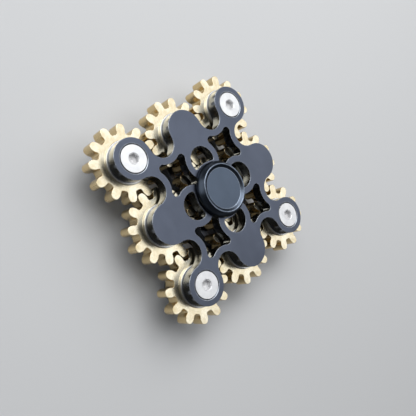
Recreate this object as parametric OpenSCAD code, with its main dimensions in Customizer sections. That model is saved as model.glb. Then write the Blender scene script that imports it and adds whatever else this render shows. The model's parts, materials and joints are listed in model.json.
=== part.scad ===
// Nine-gear fidget spinner, in millimetres.
// A square frame of two slotted plates carries eight geared ball bearings around a
// centre gear. The centre gear is fixed to a hub that is held between two finger caps.
// Spin the frame about the hub and every gear rolls on its neighbours.
// +Z is the spin axis and points out of the front, the side of the screw heads.
// The origin is the middle of the whole object.

/* [Gears] */
// Module of the teeth, which with the tooth count sets the overall size
gear_module = 1.6; // [1.5:0.05:2.4]
// Teeth on every gear
gear_teeth = 12; // [12:1:18]
// Tooth height above the pitch circle, in modules
tooth_tip = 0.6; // [0.4:0.05:0.7]
// Tooth depth below the pitch circle, in modules
tooth_root = 1.2; // [1:0.05:1.2]
// Pressure angle
pressure_angle = 22; // [18:1:25]
// Play between two meshed flanks
backlash = 0.14; // [0.08:0.02:0.3]
// Radius that rounds the tooth tips
tip_r = 0.95; // [0.3:0.05:1]
// Radius at the foot of the teeth
foot_r = 0.6; // [0.2:0.05:0.7]
// How far a bearing stands proud of its gear's faces
gear_inset = 0.75; // [0.2:0.05:1.2]

/* [Plates] */
// Radius of the lobes over the outer gears
lobe_r = 5.65; // [4.8:0.05:7]
// Radius of the solid ring around the hub, inside the lens-shaped slots
hub_ring_r = 8.6; // [7.8:0.1:9.2]
// Radius of the slots' rounded corners
slot_corner_r = 0.8; // [0.4:0.1:1.2]
// Half width of the star-shaped windows
window_half = 4.6; // [4:0.1:5]
// Radius of the windows' corners
window_corner_r = 1; // [0.4:0.1:1.4]
// Width of the webs between windows and slots
web_w = 1.9; // [1.4:0.1:2.4]
// Thickness of the lip that holds a hub bearing in its plate
hub_lip_t = 0.65; // [0.4:0.05:1.5]
// Thickness of the spacers between the centre gear and the hub bearings
hub_spacer_t = 0.425; // [0.3:0.025:1.5]
// Wall left over the blind ends of the side axles
axle_floor_t = 1.2; // [0.8:0.1:1.6]

/* [Gear bearings] */
// Bore
gear_bearing_bore = 4; // [3.5:0.1:5]
// Outside diameter
gear_bearing_od = 12; // [11:0.1:14.4]
// Width
gear_bearing_w = 6; // [5:0.1:8]
// Ball diameter
gear_ball_d = 2; // [1.5:0.1:2.4]
// Balls in each bearing
gear_balls = 7; // [6:1:8]

/* [Hub bearings] */
// Bore
hub_bearing_bore = 6.35; // [5.4:0.05:7]
// Outside diameter
hub_bearing_od = 12.7; // [12:0.1:14]
// Width
hub_bearing_w = 3.175; // [2.6:0.025:4]
// Ball diameter
hub_ball_d = 1.588; // [1.2:0.002:1.8]
// Balls in each bearing
hub_balls = 9; // [7:1:10]

/* [Finger caps] */
// Widest diameter
cap_d = 16.3; // [15:0.1:17]
// Diameter of the raised rim
cap_rim_d = 14; // [12.5:0.1:14.8]
// Width of the rim's flat top
cap_rim_w = 0.25; // [0.2:0.05:1]
// Diameter of the dished floor
cap_dish_d = 11.8; // [9:0.1:12]
// Depth of the dish
cap_dish_depth = 0.6; // [0.2:0.05:1]
// Height
cap_h = 2.6; // [2:0.1:4]
// Height of the straight part of the cap's side
cap_side_h = 0.6; // [0.4:0.1:1.4]
// Length of the threaded stud under a cap
cap_stud_l = 4.4; // [3:0.1:5.4]
// Diameter of the threaded stud
cap_stud_d = 4; // [3:0.1:4.4]

/* [Screws] */
// Diameter of a corner screw's countersunk head
screw_head_d = 7.45; // [6.5:0.05:8]
// Height of the head's cylindrical edge
screw_edge_h = 0.3; // [0.2:0.05:0.6]
// Width of the hex socket across its flats
socket_af = 2.5; // [2:0.1:3]
// Depth of the hex socket
socket_depth = 1.2; // [1:0.1:1.8]
// Width of the chamfer around the socket's mouth, past its corners
socket_chamfer = 0.12; // [0.05:0.01:0.3]
// How far a screw's end stays inside the rear plate
screw_end_inset = 0.3; // [0.1:0.1:1]

/* [Clearances] */
// Thickness of the shims beside each gear's bearing
shim_t = 0.2; // [0.1:0.05:0.5]
// Gap between a finger cap and its plate
cap_gap = 0.3; // [0.2:0.05:0.6]
// Radial gap where a pin or thread sits in its hole
fit_gap = 0.02; // [0.01:0.01:0.05]
// Radial gap around a screw that passes freely
pass_gap = 0.15; // [0.05:0.05:0.3]
// Gap between balls and races
race_gap = 0.03; // [0.02:0.01:0.05]
// Gap between balls and their cage
cage_gap = 0.06; // [0.04:0.01:0.1]

/* [Hidden] */
$fn = 96;
arc_step = 10;
PLACES = ["e", "ne", "n", "nw", "w", "sw", "s", "se"];
GRID = [[1, 0], [1, 1], [0, 1], [-1, 1], [-1, 0], [-1, -1], [0, -1], [1, -1]];
SIDES = [0, 2, 4, 6];
CORNERS = [1, 3, 5, 7];

brass = [0.83, 0.70, 0.42];
black_anodised = [0.16, 0.18, 0.21];
bearing_steel = [0.74, 0.75, 0.77];
screw_steel = [0.86, 0.87, 0.88];

// Gear grid
pitch = gear_module * gear_teeth;
pitch_r = pitch / 2;
tooth_angle = 360 / gear_teeth;
outside_r = pitch_r + tooth_tip * gear_module;
root_r = pitch_r - tooth_root * gear_module;
base_r = pitch_r * cos(pressure_angle);
gear_t = gear_bearing_w - 2 * gear_inset;

// Heights above the middle plane
plate_z = gear_bearing_w / 2 + shim_t;
hub_bearing_z = gear_t / 2 + hub_spacer_t;
seat_z = hub_bearing_z + hub_bearing_w;
plate_top = seat_z + hub_lip_t;
plate_t = plate_top - plate_z;
cap_base = plate_top + cap_gap;
cap_top = cap_base + cap_h;
spindle_end = 0.1;

// Notches between lobes, and the lens slots, are circles tangent to the lobes
notch_r = pitch / 2 - lobe_r;
notch_flat = 0.02;
window_arc_r = notch_r + web_w;

// Races: the shoulders stand this share of a ball's diameter away from the pitch circle
shoulder_share = 0.3;
cage_share = 0.2;
shield_t = 0.25;
shield_inset = 0.25;
shield_gap = 0.2;

screw_d = gear_bearing_bore - 2 * fit_gap;
axle_end = plate_top - axle_floor_t;
shim_r = gear_bearing_bore / 2 + 0.95;
edge = 0.3;
cut = 1;

// ---- Points on curves ----

function polar(r, a) = [r * cos(a), r * sin(a)];

// Points from angle a0 up to but not including a1
function arc(centre, r, a0, a1) =
    let (n = ceil(abs(a1 - a0) / arc_step))
    [for (k = [0 : n - 1]) centre + polar(r, a0 + (a1 - a0) * k / n)];

function turned(points, a) =
    [for (p = points) [p.x * cos(a) - p.y * sin(a), p.x * sin(a) + p.y * cos(a)]];

function four_times(points) = [for (q = [0 : 3]) each turned(points, 90 * q)];

// ---- Gears ----

function involute(a) = tan(a) * 180 / PI - a;

// Half a tooth, from its foot to the middle of its tip, about the +X axis
function half_tooth() =
    let (
        half = (PI * gear_module - 2 * backlash) / 4 / pitch_r * 180 / PI
            + involute(pressure_angle),
        tip_c = outside_r - tip_r,
        tip_roll = acos(base_r / tip_c),
        tip_a = half - tip_r / base_r * 180 / PI - involute(tip_roll),
        foot_c = root_r + foot_r,
        foot_a = half + asin(foot_r / foot_c),
        flank_r = norm(polar(tip_c, tip_a) + polar(tip_r, tip_a + 90 - tip_roll)),
        foot_steps = 3,
        flank_steps = 4,
        tip_steps = 3
    )
    concat(
        [for (k = [0 : foot_steps])
            polar(foot_c, foot_a)
            + polar(foot_r, foot_a + 180 + (half + 90 - foot_a) * k / foot_steps)],
        [for (k = [0 : flank_steps - 1])
            let (r = base_r + (flank_r - base_r) * k / flank_steps)
            polar(r, half - involute(acos(min(1, base_r / r))))],
        [for (k = [0 : tip_steps])
            polar(tip_c, tip_a)
            + polar(tip_r, tip_a + (90 - tip_roll) * (1 - k / tip_steps))]
    );

// The whole outline, with a tooth at angle phase
function gear_outline(phase) =
    let (
        side = half_tooth(),
        last = len(side) - 1,
        tooth = concat(
            [for (p = side) [p.x, -p.y]],
            [for (k = [0 : last]) side[last - k]]
        )
    )
    [for (k = [0 : gear_teeth - 1]) each turned(tooth, phase + k * tooth_angle)];

// Where a gear's teeth stand, so that it meshes with its neighbours
function gear_phase(g) =
    let (first = tooth_angle / 4)
    g.x != 0 && g.y != 0 ? 180 + first
    : g.x != 0 ? 180 - first - tooth_angle / 2
    : g.y != 0 ? -first - tooth_angle / 2
    : first;

function gear_place(g) = [g.x * pitch, g.y * pitch, 0];

module gear(g, bore_d) {
    color(brass)
    translate(gear_place(g))
    difference() {
        linear_extrude(gear_t, center = true) polygon(gear_outline(gear_phase(g)));
        cylinder(h = gear_t + 2 * cut, d = bore_d, center = true);
    }
}

// ---- Ball bearings, about the origin ----

function race_pitch_r(bore, od) = (bore + od) / 4;

module inner_ring(bore, od, w, ball_d) {
    pitch_c = race_pitch_r(bore, od);
    color(bearing_steel)
    rotate_extrude()
    difference() {
        translate([bore / 2, -w / 2]) square([pitch_c - shoulder_share * ball_d - bore / 2, w]);
        translate([pitch_c, 0]) circle(r = ball_d / 2 + race_gap);
    }
}

module outer_ring(bore, od, w, ball_d, shielded) {
    pitch_c = race_pitch_r(bore, od);
    shoulder = pitch_c + shoulder_share * ball_d;
    shield_r = pitch_c - shoulder_share * ball_d + shield_gap;
    color(bearing_steel)
    rotate_extrude()
    difference() {
        union() {
            translate([shoulder, -w / 2]) square([od / 2 - shoulder, w]);
            if (shielded)
                for (s = [-1, 1])
                    translate([shield_r, s * (w / 2 - shield_inset - shield_t / 2) - shield_t / 2])
                        square([shoulder + cage_gap - shield_r, shield_t]);
        }
        translate([pitch_c, 0]) circle(r = ball_d / 2 + race_gap);
    }
}

// The balls and the cage that spaces them
module ball_set(bore, od, ball_d, count) {
    pitch_c = race_pitch_r(bore, od);
    color(bearing_steel) {
        for (k = [0 : count - 1])
            rotate(360 * k / count) translate([pitch_c, 0, 0]) sphere(d = ball_d);
        difference() {
            rotate_extrude()
                translate([pitch_c - cage_share * ball_d, -0.62 * ball_d])
                    square([2 * cage_share * ball_d, 1.24 * ball_d]);
            for (k = [0 : count - 1])
                rotate(360 * k / count) rotate([0, 90, 0])
                    translate([0, 0, pitch_c - ball_d / 2])
                        cylinder(h = ball_d, d = ball_d + 2 * cage_gap);
        }
    }
}

module bearing_outer(g) {
    translate(gear_place(g))
        outer_ring(gear_bearing_bore, gear_bearing_od, gear_bearing_w, gear_ball_d, true);
}

module bearing_inner(g) {
    translate(gear_place(g))
        inner_ring(gear_bearing_bore, gear_bearing_od, gear_bearing_w, gear_ball_d);
}

module bearing_balls(g) {
    translate(gear_place(g))
        ball_set(gear_bearing_bore, gear_bearing_od, gear_ball_d, gear_balls);
}

// Side is 1 for the front plate's bearing and -1 for the rear plate's
module hub_bearing(part, side) {
    translate([0, 0, side * (hub_bearing_z + hub_bearing_w / 2)]) {
        if (part == "outer")
            outer_ring(hub_bearing_bore, hub_bearing_od, hub_bearing_w, hub_ball_d, false);
        if (part == "inner")
            inner_ring(hub_bearing_bore, hub_bearing_od, hub_bearing_w, hub_ball_d);
        if (part == "balls")
            ball_set(hub_bearing_bore, hub_bearing_od, hub_ball_d, hub_balls);
    }
}

// ---- Frame ----

// A square with a lobe over each outer gear and a notch between each two lobes. The short
// flat where a notch and a lobe would touch keeps both as clean arcs.
module plate_outline() {
    difference() {
        union() {
            square(2 * pitch, center = true);
            for (g = GRID) translate(pitch * g) circle(r = lobe_r);
        }
        for (q = [0 : 3], side = [-1, 1])
            rotate(90 * q) translate([pitch, side * pitch / 2]) circle(r = notch_r - notch_flat);
    }
}

// A star-shaped window about the origin: a rounded square, cut back where its sides
// come nearer than a web's width to a notch or a slot
module window() {
    corner = window_half - window_corner_r;
    difference() {
        polygon(four_times(concat(
            arc([corner, corner], window_corner_r, 0, 90),
            [[corner, window_half]]
        )));
        for (q = [0 : 3]) rotate(90 * q) translate([0, pitch / 2]) circle(r = window_arc_r);
    }
}

// A lens-shaped slot on the +X axis: the far arc, a rounded corner, the arc along the
// hub's ring and the other corner
function slot_outline() =
    let (
        far = pitch / 2,
        r = notch_r - slot_corner_r,
        ring = hub_ring_r + slot_corner_r,
        x = (far * far - r * r + ring * ring) / 2 / far,
        y = sqrt(ring * ring - x * x),
        out_a = atan2(y, x - far),
        ring_a = atan2(y, x)
    )
    concat(
        arc([far, 0], notch_r, -out_a, out_a),
        arc([x, y], slot_corner_r, out_a, 180 + ring_a),
        arc([0, 0], hub_ring_r, ring_a, -ring_a),
        arc([x, -y], slot_corner_r, 180 - ring_a, 360 - out_a)
    );

module plate_blank() {
    translate([0, 0, plate_z])
    linear_extrude(plate_t)
    difference() {
        plate_outline();
        for (q = [0 : 3]) {
            rotate(90 * q) translate([pitch / 2, pitch / 2]) window();
            polygon(turned(slot_outline(), 90 * q));
        }
    }
}

// The hub bearing's seat, open on the inside, with its lip, and the blind axle holes
module plate_seats() {
    lip_r = race_pitch_r(hub_bearing_bore, hub_bearing_od) + shoulder_share * hub_ball_d;
    translate([0, 0, plate_z - cut]) cylinder(h = seat_z - plate_z + cut, d = hub_bearing_od);
    translate([0, 0, plate_z]) cylinder(h = plate_t + cut, r = lip_r);
    for (i = SIDES)
        translate(gear_place(GRID[i]) + [0, 0, plate_z - cut])
            cylinder(h = axle_end - plate_z + cut, d = gear_bearing_bore);
}

module front_plate() {
    head_r = screw_head_d / 2;
    sink_r = head_r + screw_edge_h;
    hole_r = screw_d / 2 + pass_gap;
    color(black_anodised)
    difference() {
        plate_blank();
        plate_seats();
        for (i = CORNERS)
            translate(gear_place(GRID[i])) {
                translate([0, 0, plate_z - cut]) cylinder(h = plate_t + 2 * cut, r = hole_r);
                translate([0, 0, plate_top - sink_r])
                    cylinder(h = sink_r + cut, r1 = 0, r2 = sink_r + cut);
            }
    }
}

module rear_plate() {
    color(black_anodised)
    difference() {
        mirror([0, 0, 1]) plate_blank();
        mirror([0, 0, 1]) plate_seats();
        for (i = CORNERS)
            translate(gear_place(GRID[i]) - [0, 0, plate_top + cut])
                cylinder(h = plate_t + 2 * cut, d = gear_bearing_bore);
    }
}

// Countersunk screws that pass the front plate and a bearing, and thread into the rear plate
module corner_screws() {
    head_r = screw_head_d / 2 - fit_gap;
    cone_top = plate_top - screw_edge_h;
    end = plate_top - screw_end_inset;
    socket_r = socket_af / sqrt(3);
    chamfer_r = socket_r + socket_chamfer;
    drill_tip = 0.3;
    color(screw_steel)
    for (i = CORNERS)
        translate(gear_place(GRID[i]))
        difference() {
            union() {
                translate([0, 0, -end]) cylinder(h = end + cone_top - edge, d = screw_d);
                translate([0, 0, cone_top]) cylinder(h = screw_edge_h, r = head_r);
                translate([0, 0, cone_top - head_r + screw_d / 2])
                    cylinder(h = head_r - screw_d / 2, r1 = screw_d / 2, r2 = head_r);
            }
            translate([0, 0, plate_top - socket_depth])
                cylinder(h = socket_depth + cut, r = socket_r, $fn = 6);
            translate([0, 0, plate_top - socket_depth - drill_tip])
                cylinder(h = drill_tip, r1 = 0, r2 = socket_af / 4);
            translate([0, 0, plate_top - socket_chamfer])
                cylinder(h = socket_chamfer + cut, r1 = socket_r, r2 = chamfer_r + cut);
        }
}

module axle(g) {
    color(screw_steel)
    translate(gear_place(g) - [0, 0, axle_end - fit_gap])
        cylinder(h = 2 * (axle_end - fit_gap), d = screw_d);
}

// Two shims to each gear's bearing, between its inner ring and the plates
module gear_shims() {
    color(bearing_steel)
    for (g = GRID)
        for (z = [-plate_z, gear_bearing_w / 2])
            translate(gear_place(g) + [0, 0, z])
            difference() {
                cylinder(h = shim_t, r = shim_r);
                translate([0, 0, -cut]) cylinder(h = shim_t + 2 * cut, d = gear_bearing_bore);
            }
}

// ---- Hub ----

module hub_spindle() {
    half = seat_z - spindle_end;
    color(screw_steel)
    difference() {
        cylinder(h = 2 * half, d = hub_bearing_bore, center = true);
        cylinder(h = 2 * half + 2 * cut, d = cap_stud_d + 2 * fit_gap, center = true);
    }
}

// Rings that space the centre gear from the hub bearings' inner rings
module hub_spacers() {
    ring_r = race_pitch_r(hub_bearing_bore, hub_bearing_od) - shoulder_share * hub_ball_d;
    color(bearing_steel)
    for (z = [-hub_bearing_z, gear_t / 2])
        translate([0, 0, z])
        difference() {
            cylinder(h = hub_spacer_t, r = ring_r);
            translate([0, 0, -cut])
                cylinder(h = hub_spacer_t + 2 * cut, d = hub_bearing_bore);
        }
}

// A finger cap: its boss sits on the bearing's inner ring, and its stud screws into the spindle
module cap() {
    boss_r = race_pitch_r(hub_bearing_bore, hub_bearing_od) - shoulder_share * hub_ball_d;
    cap_r = cap_d / 2;
    rim_r = cap_rim_d / 2;
    side_z = cap_base + cap_side_h;
    dish_z = cap_top - cap_dish_depth;
    steps = 8;
    color(black_anodised)
    rotate_extrude()
    polygon(concat(
        [[0, seat_z - cap_stud_l], [cap_stud_d / 2, seat_z - cap_stud_l],
         [cap_stud_d / 2, seat_z], [boss_r, seat_z], [boss_r, cap_base],
         [cap_r - edge, cap_base], [cap_r, cap_base + edge]],
        [for (k = [0 : steps])
            let (rise = k / steps)
            [cap_r - (cap_r - rim_r) * pow(rise, 1.5), side_z + (cap_top - side_z) * rise]],
        [[rim_r - cap_rim_w, cap_top], [cap_dish_d / 2, dish_z], [0, dish_z]]
    ));
}

module front_cap() {
    cap();
}

module rear_cap() {
    mirror([0, 0, 1]) cap();
}

// ---- Assembly ----

front_plate();
rear_plate();
corner_screws();
gear_shims();
front_cap();
rear_cap();
hub_spindle();
hub_spacers();
gear([0, 0], hub_bearing_bore);  // centre_gear
for (part = ["outer", "inner", "balls"]) {
    hub_bearing(part, 1);
    hub_bearing(part, -1);
}
for (i = SIDES)
    axle(GRID[i]);
for (i = [0 : 7]) {
    gear(GRID[i], gear_bearing_od);
    bearing_outer(GRID[i]);
    bearing_inner(GRID[i]);
    bearing_balls(GRID[i]);
}
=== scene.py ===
import json
import math

import bpy
from mathutils import Matrix, Vector


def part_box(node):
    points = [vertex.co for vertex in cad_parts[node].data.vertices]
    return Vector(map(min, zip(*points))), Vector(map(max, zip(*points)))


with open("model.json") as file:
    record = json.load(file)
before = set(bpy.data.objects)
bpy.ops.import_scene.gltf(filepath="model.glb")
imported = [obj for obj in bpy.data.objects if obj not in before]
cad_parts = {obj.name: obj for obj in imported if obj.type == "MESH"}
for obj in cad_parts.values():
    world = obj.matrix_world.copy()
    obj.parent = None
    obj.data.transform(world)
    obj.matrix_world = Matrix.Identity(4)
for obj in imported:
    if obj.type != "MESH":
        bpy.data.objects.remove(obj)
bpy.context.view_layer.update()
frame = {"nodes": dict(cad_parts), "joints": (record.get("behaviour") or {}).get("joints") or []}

MM = 0.001
FRONT_FACE_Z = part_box("front_plate")[1].z
REST_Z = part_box("rear_cap")[0].z
# The first gear's joint lies one gear spacing along +X, after the frame's own joint.
PITCH = frame["joints"][1]["pos_m"][0]

# ---------------------------------------------------------------- camera

CAMERA_AZIMUTH = 163.96
CAMERA_ELEVATION = 52.81
CAMERA_ROLL = -73.69
CAMERA_DISTANCE = 6.964 * PITCH
CAMERA_AIM = Vector((-0.3414 * PITCH, -0.1260 * PITCH, FRONT_FACE_Z))
CAMERA_LENS = 41.94


def direction(azimuth, elevation):
    """A unit vector at an azimuth and elevation in degrees."""
    a = math.radians(azimuth)
    e = math.radians(elevation)
    return Vector((math.cos(e) * math.cos(a), math.cos(e) * math.sin(a), math.sin(e)))


def add_camera():
    back = direction(CAMERA_AZIMUTH, CAMERA_ELEVATION)
    right = Vector((0, 0, 1)).cross(back).normalized()
    up = back.cross(right)
    turn = Matrix.Rotation(math.radians(-CAMERA_ROLL), 4, back)
    camera = bpy.data.objects.new("camera", bpy.data.cameras.new("camera"))
    camera.data.lens = CAMERA_LENS
    camera.data.clip_start = 5 * MM
    camera.data.clip_end = 20
    axes = Matrix((right, up, back)).transposed().to_4x4()
    camera.matrix_world = Matrix.Translation(CAMERA_AIM + back * CAMERA_DISTANCE) @ turn @ axes
    bpy.context.scene.collection.objects.link(camera)
    bpy.context.scene.camera = camera


# ---------------------------------------------------------------- materials


class Shader:
    """A new material with a principled shader, and short calls that add its nodes."""

    def __init__(self, name, **values):
        self.material = bpy.data.materials.new(name)
        self.material.use_nodes = True
        self.tree = self.material.node_tree
        self.bsdf = self.tree.nodes["Principled BSDF"]
        for key, value in values.items():
            self.bsdf.inputs[key.replace("_", " ")].default_value = value

    def node(self, kind, inputs=None, **settings):
        made = self.tree.nodes.new("ShaderNode" + kind)
        for key, value in settings.items():
            setattr(made, key, value)
        for key, value in (inputs or {}).items():
            self.feed(made.inputs[key], value)
        return made

    def feed(self, socket, value):
        if isinstance(value, bpy.types.NodeSocket):
            self.tree.links.new(value, socket)
        else:
            socket.default_value = value

    def math(self, operation, a, b=0.0):
        return self.node("Math", {0: a, 1: b}, operation=operation).outputs[0]

    def place(self, scale=(1, 1, 1), centre=(0, 0, 0)):
        """Object coordinates in millimetres about a centre, stretched by scale."""
        at = self.node("TexCoord").outputs["Object"]
        moved = self.node("VectorMath", {0: at, 1: centre}, operation="SUBTRACT").outputs[0]
        factor = tuple(s / MM for s in scale)
        return self.node("VectorMath", {0: moved, 1: factor}, operation="MULTIPLY").outputs[0]

    def noise(self, vector, scale, detail=3.0, roughness=0.5):
        inputs = {"Vector": vector, "Scale": scale, "Detail": detail, "Roughness": roughness}
        return self.node("TexNoise", inputs).outputs["Fac"]

    def spread(self, value, low, high, to_low, to_high):
        inputs = {"Value": value, 1: low, 2: high, 3: to_low, 4: to_high}
        return self.node("MapRange", inputs).outputs[0]

    # One Mix node holds sockets for every kind of value: 2 and 3 take numbers, 6 and 7 take colours.

    def mix_colour(self, factor, a, b):
        made = self.node("Mix", data_type="RGBA")
        self.feed(made.inputs[0], factor)
        self.feed(made.inputs[6], a)
        self.feed(made.inputs[7], b)
        return made.outputs[2]

    def mix(self, factor, a, b):
        made = self.node("Mix")
        self.feed(made.inputs[0], factor)
        self.feed(made.inputs[2], a)
        self.feed(made.inputs[3], b)
        return made.outputs[0]

    def flatness(self):
        """1 on faces square to the spin axis, 0 on walls along it."""
        normal = self.node("TexCoord").outputs["Normal"]
        z = self.node("SeparateXYZ", {0: normal}).outputs[2]
        return self.spread(self.math("ABSOLUTE", z), 0.8, 0.95, 0, 1)

    def radius(self, vector):
        """Distance from the Z axis through the vector's origin."""
        parts = self.node("SeparateXYZ", {0: vector})
        flat = self.node("CombineXYZ", {0: parts.outputs[0], 1: parts.outputs[1], 2: 0.0})
        return self.node("VectorMath", {0: flat.outputs[0]}, operation="LENGTH").outputs[1]

    def bump(self, height, depth_mm):
        made = self.node("Bump", {"Strength": 1.0, "Distance": depth_mm * MM, "Height": height})
        self.feed(self.bsdf.inputs["Normal"], made.outputs[0])

    def set(self, name, value):
        self.feed(self.bsdf.inputs[name], value)


BRASS_BRIGHT = (0.78, 0.73, 0.58, 1)
BRASS_TARNISHED = (0.57, 0.48, 0.30, 1)
BRASS_FLANK = (0.70, 0.54, 0.29, 1)
BRASS_RINGS_PER_MM = 6.0
SCREW_HEAD = (0.70, 0.71, 0.72, 1)
SCREW_HEAD_SMUDGED = (0.59, 0.60, 0.62, 1)
SCREW_SOCKET = (0.70, 0.70, 0.71, 1)
SCREW_SOCKET_ROUGHNESS = 0.45
# The socket's look fades in between these depths below the front face.
SOCKET_FADE_END_MM = 0.12
SOCKET_FADE_START_MM = 0.04


def black_anodised(name, face, wall, face_roughness, wall_roughness):
    """Bead-blasted faces and smooth cut walls under a black anodised skin."""
    s = Shader(name, Metallic=1.0)
    at = s.place()
    flat = s.flatness()
    cloud = s.noise(at, 0.09, 4, 0.6)
    grain = s.noise(at, 5.0, 2, 0.7)
    smear = s.noise(s.place((1, 0.35, 1)), 0.4, 5, 0.65)
    pale = tuple(min(1, c * 1.14) for c in face[:3]) + (1,)
    toned = s.mix_colour(s.spread(cloud, 0.35, 0.65, 0, 1), face, pale)
    s.set("Base Color", s.mix_colour(flat, wall, toned))
    satin = s.spread(smear, 0.3, 0.7, face_roughness - 0.03, face_roughness + 0.05)
    s.set("Roughness", s.mix(flat, wall_roughness, satin))
    s.bump(s.math("MULTIPLY", grain, flat), 0.004)
    return s.material


def cut_edge(name, colour, roughness):
    """A chamfer cut after the skin, a little brighter and smoother than the faces."""
    s = Shader(name, Metallic=1.0)
    wear = s.noise(s.place(), 1.2, 4, 0.6)
    worn = tuple(min(1, c * 1.6) for c in colour[:3]) + (1,)
    s.set("Base Color", s.mix_colour(s.spread(wear, 0.45, 0.7, 0, 1), colour, worn))
    s.set("Roughness", s.spread(wear, 0.3, 0.7, roughness - 0.04, roughness + 0.08))
    return s.material


def brass(name, centre, phase):
    """Turned faces with fine rings about the gear's centre, and flanks cut along the axis."""
    s = Shader(name, Metallic=1.0)
    at = s.place(centre=centre)
    flat = s.flatness()
    r = s.radius(at)
    scaled = s.math("MULTIPLY", r, BRASS_RINGS_PER_MM)
    around = s.node("CombineXYZ", {0: scaled, 1: phase, 2: 0.0})
    rings = s.noise(around.outputs[0], 1.0, 3, 0.7)
    cut = s.noise(s.place((1, 1, 0.05), centre), 3.0, 3, 0.6)
    tarnish = s.noise(at, 0.26, 5, 0.65)
    face = s.mix_colour(s.spread(tarnish, 0.35, 0.7, 0, 1), BRASS_BRIGHT, BRASS_TARNISHED)
    s.set("Base Color", s.mix_colour(flat, BRASS_FLANK, face))
    satin = s.spread(rings, 0.3, 0.7, 0.18, 0.27)
    flank = s.spread(cut, 0.3, 0.7, 0.16, 0.3)
    s.set("Roughness", s.mix(flat, flank, satin))
    s.bump(s.mix(flat, cut, rings), 0.006)
    return s.material


def steel(name, colour, roughness, centre=(0, 0, 0), lines=5.0, depth=0.003):
    """Ground steel with fine rings about a centre."""
    s = Shader(name, Metallic=1.0)
    at = s.place(centre=centre)
    parts = s.node("SeparateXYZ", {0: at})
    along = s.node("CombineXYZ", {0: s.math("MULTIPLY", s.radius(at), lines),
                                  1: s.math("MULTIPLY", parts.outputs[2], lines), 2: 0.0})
    rings = s.noise(along.outputs[0], 1.0, 3, 0.7)
    blotch = s.noise(at, 0.5, 4, 0.6)
    dim = tuple(c * 0.86 for c in colour[:3]) + (1,)
    s.set("Base Color", s.mix_colour(s.spread(blotch, 0.35, 0.7, 0, 1), colour, dim))
    s.set("Roughness", s.spread(rings, 0.3, 0.7, roughness - 0.05, roughness + 0.07))
    s.bump(rings, depth)
    return s.material


def screw_steel(name):
    """Satin stainless heads. Their sockets are a pale matte stand-in for metal, which came out too dark."""
    s = Shader(name)
    at = s.place()
    height = s.node("SeparateXYZ", {0: at}).outputs[2]
    fade_end = FRONT_FACE_Z / MM - SOCKET_FADE_END_MM
    fade_start = FRONT_FACE_Z / MM - SOCKET_FADE_START_MM
    sunk = s.spread(height, fade_end, fade_start, 1, 0)
    grain = s.noise(at, 6.0, 3, 0.7)
    smudge = s.noise(at, 0.5, 4, 0.6)
    head = s.mix_colour(s.spread(smudge, 0.35, 0.7, 0, 1), SCREW_HEAD, SCREW_HEAD_SMUDGED)
    s.set("Base Color", s.mix_colour(sunk, head, SCREW_SOCKET))
    s.set("Metallic", s.mix(sunk, 1.0, 0.0))
    s.set("Roughness", s.mix(sunk, s.spread(grain, 0.3, 0.7, 0.30, 0.42), SCREW_SOCKET_ROUGHNESS))
    s.bump(grain, 0.002)
    return s.material


# ---------------------------------------------------------------- CAD nodes


# The edge break of each kind of piece.
PLATE_BREAK_MM = 0.10
PLATE_WELD_MM = 0.06
CAP_BREAK_MM = 0.08
GEAR_BREAK_MM = 0.08
RING_BREAK_MM = 0.11
SCREW_BREAK_MM = 0.04
BREAK_SEGMENTS = 2
EDGE_SLOT = 1
FLAT_SEAM_DEGREES = 0.5


def assign(node, *materials):
    mesh = frame["nodes"][node].data
    mesh.materials.clear()
    for m in materials:
        mesh.materials.append(m)


def bevel(node, width_mm, angle=35, material=-1, weld_mm=0.0005):
    """Breaks a node's sharp edges: welds split vertices, clears flat seams and bevels."""
    piece = frame["nodes"][node]
    weld = piece.modifiers.new("weld", "WELD")
    weld.merge_threshold = weld_mm * MM
    merge = piece.modifiers.new("flat seams", "DECIMATE")
    merge.decimate_type = "DISSOLVE"
    merge.angle_limit = math.radians(FLAT_SEAM_DEGREES)
    cut = piece.modifiers.new("edge break", "BEVEL")
    cut.width = width_mm * MM
    cut.segments = BREAK_SEGMENTS
    cut.angle_limit = math.radians(angle)
    cut.use_clamp_overlap = False
    cut.miter_outer = "MITER_ARC"
    cut.material = material
    cut.harden_normals = False
    level = piece.modifiers.new("shading", "WEIGHTED_NORMAL")
    level.weight = 90
    level.keep_sharp = False


def smooth(node):
    """Shades a node smooth, without its stored normals and sharp edges."""
    mesh = frame["nodes"][node].data
    if "custom_normal" in mesh.attributes:
        mesh.attributes.remove(mesh.attributes["custom_normal"])
    mesh.polygons.foreach_set("use_smooth", [True] * len(mesh.polygons))
    if "sharp_edge" in mesh.attributes:
        mesh.attributes.remove(mesh.attributes["sharp_edge"])


PLACES = ["e", "ne", "n", "nw", "w", "sw", "s", "se"]
PLATE_FACE = (0.079, 0.091, 0.121, 1)
PLATE_WALL = (0.12, 0.13, 0.15, 1)
CAP_FACE = (0.072, 0.092, 0.125, 1)
CAP_WALL = (0.075, 0.09, 0.115, 1)
RING_STEEL = (0.68, 0.68, 0.67, 1)
# A different start of the ring pattern for each gear.
PHASE_STEP = 1.7
CENTRE_PHASE = 0.5

plate_skin = black_anodised("plate_skin", PLATE_FACE, PLATE_WALL, 0.36, 0.20)
plate_edge = cut_edge("plate_edge", (0.26, 0.28, 0.31, 1), 0.22)
cap_skin = black_anodised("cap_skin", CAP_FACE, CAP_WALL, 0.36, 0.30)
cap_edge = cut_edge("cap_edge", (0.17, 0.20, 0.25, 1), 0.28)
screw_skin = screw_steel("screw_skin")
shaft_skin = steel("shaft_skin", (0.70, 0.71, 0.73, 1), 0.22)
ball_skin = steel("ball_skin", (0.85, 0.86, 0.88, 1), 0.08, depth=0.0)
hub_steel = steel("hub_steel", (0.72, 0.73, 0.75, 1), 0.2)

for node in frame["nodes"]:
    smooth(node)

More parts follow.
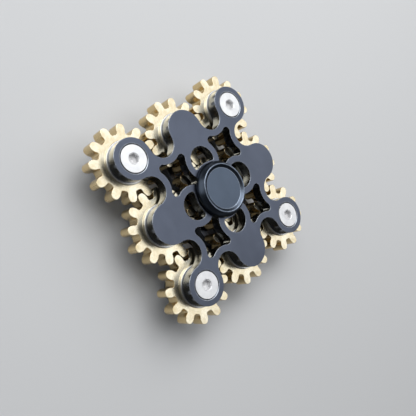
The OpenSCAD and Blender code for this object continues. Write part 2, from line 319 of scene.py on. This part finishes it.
for node in ("front_plate", "rear_plate"):
    assign(node, plate_skin, plate_edge)
    bevel(node, PLATE_BREAK_MM, material=EDGE_SLOT, weld_mm=PLATE_WELD_MM)
for node in ("front_cap", "rear_cap"):
    assign(node, cap_skin, cap_edge)
    bevel(node, CAP_BREAK_MM, material=EDGE_SLOT, angle=25)
assign("corner_screws", screw_skin)
bevel("corner_screws", SCREW_BREAK_MM, angle=30)
assign("gear_shims", hub_steel)
assign("hub_spacers", hub_steel)
assign("hub_spindle", shaft_skin)
assign("centre_gear", brass("brass_centre", (0, 0, 0), CENTRE_PHASE))
bevel("centre_gear", GEAR_BREAK_MM, angle=30)
for joint in frame["joints"]:
    body = joint["child"]
    if not body.startswith("gear_"):
        continue
    place = body[len("gear_"):]
    centre = tuple(joint["pos_m"])
    assign("gear_" + place, brass("brass_" + place, centre, PHASE_STEP * PLACES.index(place)))
    bevel("gear_" + place, GEAR_BREAK_MM, angle=30)
    ring = steel("ring_" + place, RING_STEEL, 0.33, centre)
    for part in ("outer", "inner"):
        assign(f"bearing_{part}_{place}", ring)
        bevel(f"bearing_{part}_{place}", RING_BREAK_MM, angle=60)
    assign(f"bearing_balls_{place}", ball_skin)
for place in ("e", "n", "w", "s"):
    assign("axle_" + place, shaft_skin)
for side in ("front", "rear"):
    for part in ("outer", "inner"):
        assign(f"hub_bearing_{side}_{part}", hub_steel)
    assign(f"hub_bearing_{side}_balls", ball_skin)

# ---------------------------------------------------------------- studio


FLOOR_HALF = 1.5
FLOOR_COLOUR = (0.62, 0.63, 0.64, 1)
SKY_COLOUR = (0.80, 0.85, 0.95, 1)
SKY_STRENGTH = 0.06
LAMP_DISTANCE = 0.5
COOL_WHITE = (0.92, 0.96, 1.0)


def add_floor():
    around = ((-1, -1), (1, -1), (1, 1), (-1, 1))
    corners = [(x * FLOOR_HALF, y * FLOOR_HALF, REST_Z) for x, y in around]
    mesh = bpy.data.meshes.new("floor")
    mesh.from_pydata(corners, [], [(0, 1, 2, 3)])
    floor = bpy.data.objects.new("floor", mesh)
    bpy.context.scene.collection.objects.link(floor)
    s = Shader("floor", Roughness=0.85)
    s.set("Base Color", FLOOR_COLOUR)
    mesh.materials.append(s.material)


def add_softbox(name, azimuth, elevation, width, height, power, colour=(1, 1, 1)):
    lamp = bpy.data.lights.new(name, "AREA")
    lamp.shape = "RECTANGLE"
    lamp.size = width
    lamp.size_y = height
    lamp.energy = power
    lamp.color = colour
    box = bpy.data.objects.new(name, lamp)
    away = direction(azimuth, elevation)
    box.location = away * LAMP_DISTANCE
    box.rotation_euler = away.to_track_quat("Z", "Y").to_euler()
    bpy.context.scene.collection.objects.link(box)


def add_world():
    world = bpy.data.worlds.new("studio")
    world.use_nodes = True
    back = world.node_tree.nodes["Background"]
    back.inputs["Color"].default_value = SKY_COLOUR
    back.inputs["Strength"].default_value = SKY_STRENGTH
    bpy.context.scene.world = world


add_camera()
add_floor()
add_world()
add_softbox("window", azimuth=10, elevation=59, width=0.62, height=0.60, power=1.72)
add_softbox("ceiling", azimuth=84, elevation=52, width=0.58, height=0.24, power=1.9)
add_softbox("side", azimuth=136, elevation=12, width=0.40, height=0.30, power=0.45, colour=COOL_WHITE)
bpy.context.scene.view_settings.view_transform = "Standard"
